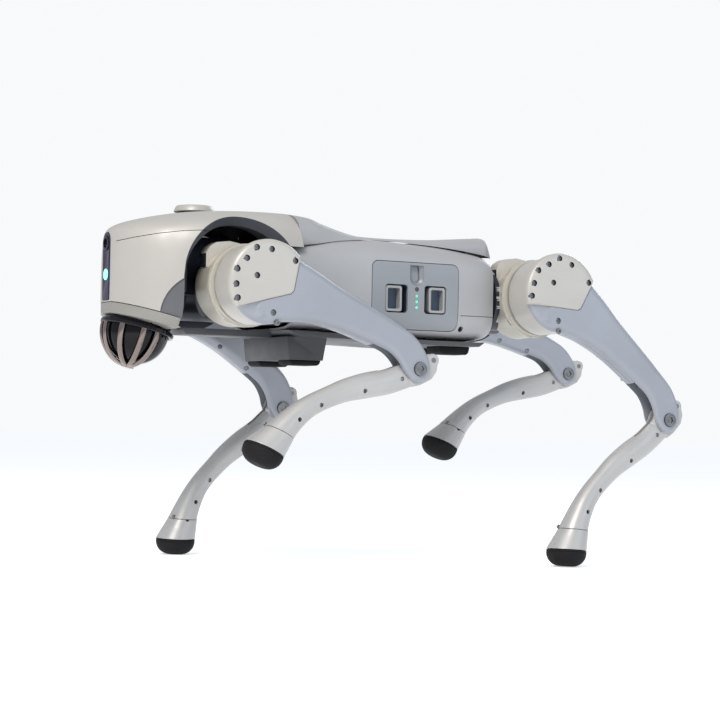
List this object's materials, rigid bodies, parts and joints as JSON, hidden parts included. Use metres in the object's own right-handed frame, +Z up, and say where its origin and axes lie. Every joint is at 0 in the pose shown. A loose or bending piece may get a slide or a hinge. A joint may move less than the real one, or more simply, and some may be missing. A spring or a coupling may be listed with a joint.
{
  "type": "quadruped robot",
  "caption": "Four-legged walking robot in mid trot: trunk with head, caged range sensor and slide-out battery, bowed calves driven by push rods inside the thighs.",
  "frame": {"origin": "on the floor under the middle of the bounding box, between the two standing feet", "axes": "+X forward along the trunk, +Y to the robot's left, +Z up"},
  "size_m": [0.751, 0.364, 0.4159],
  "materials": {
    "shell": "satin silver-grey paint on moulded plastic",
    "shell_metal": "satin silver-grey paint on cast aluminium",
    "cream_metal": "satin warm silver paint on turned aluminium",
    "cream_plastic": "satin",
    "dark_metal": "dark anodised",
    "dark_plastic": "fine textured",
    "rubber": "matt moulded",
    "gloss_black": "polished",
    "cage_black": "polished, bright reflections",
    "lens_glass": "lens",
    "lamp_glass": "glowing",
    "circuit_board": "solder mask",
    "screw_steel": "zinc plated"
  },
  "bodies": {
    "trunk": {"trunk_shell": "shell", "top_cover": "shell", "payload_deck": "dark_metal", "belly_tray": "dark_plastic", "belly_pads": "rubber", "head_shell": "shell", "face_strip": "gloss_black", "camera_lens": "lens_glass", "head_lamp": "lamp_glass", "chin_ring": "shell", "lidar_unit": "gloss_black", "lidar_cage": "cage_black", "antenna_puck": "cream_plastic", "hip_motors": "dark_metal", "chassis": "dark_metal", "main_computer": "circuit_board"},
    "battery": {"battery_pack": "shell"},
    "front_latch": {"latch_front": "dark_plastic"},
    "rear_latch": {"latch_rear": "dark_plastic"},
    "power_button": {"power_button": "dark_plastic"},
    "front_left_hip": {"front_left_hip_link": "cream_metal", "front_left_thigh_motor": "dark_metal"},
    "front_left_thigh": {"front_left_thigh_shell": "shell_metal", "front_left_motor_cover": "cream_metal", "front_left_thigh_screws": "screw_steel", "front_left_knee_motor": "dark_metal"},
    "front_left_crank": {"front_left_knee_crank": "screw_steel"},
    "front_left_rod": {"front_left_knee_rod": "dark_metal"},
    "front_left_calf": {"front_left_calf_shell": "shell_metal", "front_left_foot": "rubber"},
    "front_right_hip": {"front_right_hip_link": "cream_metal", "front_right_thigh_motor": "dark_metal"},
    "front_right_thigh": {"front_right_thigh_shell": "shell_metal", "front_right_motor_cover": "cream_metal", "front_right_thigh_screws": "screw_steel", "front_right_knee_motor": "dark_metal"},
    "front_right_crank": {"front_right_knee_crank": "screw_steel"},
    "front_right_rod": {"front_right_knee_rod": "dark_metal"},
    "front_right_calf": {"front_right_calf_shell": "shell_metal", "front_right_foot": "rubber"},
    "rear_left_hip": {"rear_left_hip_link": "cream_metal", "rear_left_thigh_motor": "dark_metal"},
    "rear_left_thigh": {"rear_left_thigh_shell": "shell_metal", "rear_left_motor_cover": "cream_metal", "rear_left_thigh_screws": "screw_steel", "rear_left_knee_motor": "dark_metal"},
    "rear_left_crank": {"rear_left_knee_crank": "screw_steel"},
    "rear_left_rod": {"rear_left_knee_rod": "dark_metal"},
    "rear_left_calf": {"rear_left_calf_shell": "shell_metal", "rear_left_foot": "rubber"},
    "rear_right_hip": {"rear_right_hip_link": "cream_metal", "rear_right_thigh_motor": "dark_metal"},
    "rear_right_thigh": {"rear_right_thigh_shell": "shell_metal", "rear_right_motor_cover": "cream_metal", "rear_right_thigh_screws": "screw_steel", "rear_right_knee_motor": "dark_metal"},
    "rear_right_crank": {"rear_right_knee_crank": "screw_steel"},
    "rear_right_rod": {"rear_right_knee_rod": "dark_metal"},
    "rear_right_calf": {"rear_right_calf_shell": "shell_metal", "rear_right_foot": "rubber"}
  },
  "joints": [
    {"name": "battery_slide", "type": "slide", "parent": "trunk", "child": "battery", "axis": [0, 1, 0], "range_m": [0, 0.03]},
    {"name": "front_latch_squeeze", "type": "slide", "parent": "battery", "child": "front_latch", "axis": [-1, 0, 0], "range_m": [0, 0.004], "stiffness_N_per_m": 1200, "springref_m": -0.001},
    {"name": "rear_latch_squeeze", "type": "slide", "parent": "battery", "child": "rear_latch", "axis": [1, 0, 0], "range_m": [0, 0.004], "stiffness_N_per_m": 1200, "springref_m": -0.001},
    {"name": "power_button_press", "type": "slide", "parent": "battery", "child": "power_button", "axis": [0, -1, 0], "range_m": [0, 0.0015], "stiffness_N_per_m": 1000, "springref_m": -0.0005},
    {"name": "front_left_hip_swing", "type": "hinge", "parent": "trunk", "child": "front_left_hip", "pos_m": [0.2382, 0.0465, 0.3192], "axis": [1, 0, 0], "range_deg": [-30, 18]},
    {"name": "front_left_thigh_swing", "type": "hinge", "parent": "front_left_hip", "child": "front_left_thigh", "pos_m": [0.2382, 0.142, 0.3192], "axis": [0, 1, 0], "range_deg": [-125, 155]},
    {"name": "front_left_knee_bend", "type": "hinge", "parent": "front_left_thigh", "child": "front_left_calf", "pos_m": [0.04516, 0.142, 0.22918], "axis": [0, 1, 0], "range_deg": [-22, 82]},
    {"name": "front_left_crank_turn", "type": "hinge", "parent": "front_left_thigh", "child": "front_left_crank", "pos_m": [0.2382, 0.142, 0.3192], "axis": [0, 1, 0], "range_deg": [-22, 82]},
    {"name": "front_left_rod_turn", "type": "hinge", "parent": "front_left_crank", "child": "front_left_rod", "pos_m": [0.21682, 0.142, 0.3301], "axis": [0, 1, 0], "range_deg": [-82, 22]},
    {"name": "front_right_hip_swing", "type": "hinge", "parent": "trunk", "child": "front_right_hip", "pos_m": [0.2382, -0.0465, 0.3192], "axis": [1, 0, 0], "range_deg": [-15, 33]},
    {"name": "front_right_thigh_swing", "type": "hinge", "parent": "front_right_hip", "child": "front_right_thigh", "pos_m": [0.2382, -0.14187, 0.3242], "axis": [0, 0.9986, -0.0523], "range_deg": [-109, 171]},
    {"name": "front_right_knee_bend", "type": "hinge", "parent": "front_right_thigh", "child": "front_right_calf", "pos_m": [0.07745, -0.14918, 0.18465], "axis": [0, 0.9986, -0.0523], "range_deg": [-62.5, 41.5]},
    {"name": "front_right_crank_turn", "type": "hinge", "parent": "front_right_thigh", "child": "front_right_crank", "pos_m": [0.2382, -0.14187, 0.3242], "axis": [0, 0.9986, -0.0523], "range_deg": [-62.5, 41.5]},
    {"name": "front_right_rod_turn", "type": "hinge", "parent": "front_right_crank", "child": "front_right_rod", "pos_m": [0.22326, -0.14089, 0.34296], "axis": [0, 0.9986, -0.0523], "range_deg": [-41.5, 62.5]},
    {"name": "rear_left_hip_swing", "type": "hinge", "parent": "trunk", "child": "rear_left_hip", "pos_m": [-0.1486, 0.0465, 0.3192], "axis": [1, 0, 0], "range_deg": [-33, 42]},
    {"name": "rear_left_thigh_swing", "type": "hinge", "parent": "rear_left_hip", "child": "rear_left_thigh", "pos_m": [-0.1486, 0.14187, 0.3242], "axis": [0, 0.9986, 0.0523], "range_deg": [-51, 194]},
    {"name": "rear_left_knee_bend", "type": "hinge", "parent": "rear_left_thigh", "child": "rear_left_calf", "pos_m": [-0.30182, 0.14961, 0.17644], "axis": [0, 0.9986, 0.0523], "range_deg": [-62, 42]},
    {"name": "rear_left_crank_turn", "type": "hinge", "parent": "rear_left_thigh", "child": "rear_left_crank", "pos_m": [-0.1486, 0.14187, 0.3242], "axis": [0, 0.9986, 0.0523], "range_deg": [-62, 42]},
    {"name": "rear_left_rod_turn", "type": "hinge", "parent": "rear_left_crank", "child": "rear_left_rod", "pos_m": [-0.16466, 0.14094, 0.34201], "axis": [0, 0.9986, 0.0523], "range_deg": [-42, 62]},
    {"name": "rear_right_hip_swing", "type": "hinge", "parent": "trunk", "child": "rear_right_hip", "pos_m": [-0.1486, -0.0465, 0.3192], "axis": [1, 0, 0], "range_deg": [-45, 30]},
    {"name": "rear_right_thigh_swing", "type": "hinge", "parent": "rear_right_hip", "child": "rear_right_thigh", "pos_m": [-0.1486, -0.142, 0.3192], "axis": [0, 1, 0], "range_deg": [-73, 172]},
    {"name": "rear_right_knee_bend", "type": "hinge", "parent": "rear_right_thigh", "child": "rear_right_calf", "pos_m": [-0.34609, -0.142, 0.23941], "axis": [0, 1, 0], "range_deg": [-19.5, 84.5]},
    {"name": "rear_right_crank_turn", "type": "hinge", "parent": "rear_right_thigh", "child": "rear_right_crank", "pos_m": [-0.1486, -0.142, 0.3192], "axis": [0, 1, 0], "range_deg": [-19.5, 84.5]},
    {"name": "rear_right_rod_turn", "type": "hinge", "parent": "rear_right_crank", "child": "rear_right_rod", "pos_m": [-0.16989, -0.142, 0.33028], "axis": [0, 1, 0], "range_deg": [-84.5, 19.5]}
  ],
  "couplings": [
    {"joint": "front_left_crank_turn", "follows": "front_left_knee_bend", "ratio": 1},
    {"joint": "front_left_rod_turn", "follows": "front_left_knee_bend", "ratio": -1},
    {"joint": "front_right_crank_turn", "follows": "front_right_knee_bend", "ratio": 1},
    {"joint": "front_right_rod_turn", "follows": "front_right_knee_bend", "ratio": -1},
    {"joint": "rear_left_crank_turn", "follows": "rear_left_knee_bend", "ratio": 1},
    {"joint": "rear_left_rod_turn", "follows": "rear_left_knee_bend", "ratio": -1},
    {"joint": "rear_right_crank_turn", "follows": "rear_right_knee_bend", "ratio": 1},
    {"joint": "rear_right_rod_turn", "follows": "rear_right_knee_bend", "ratio": -1}
  ]
}
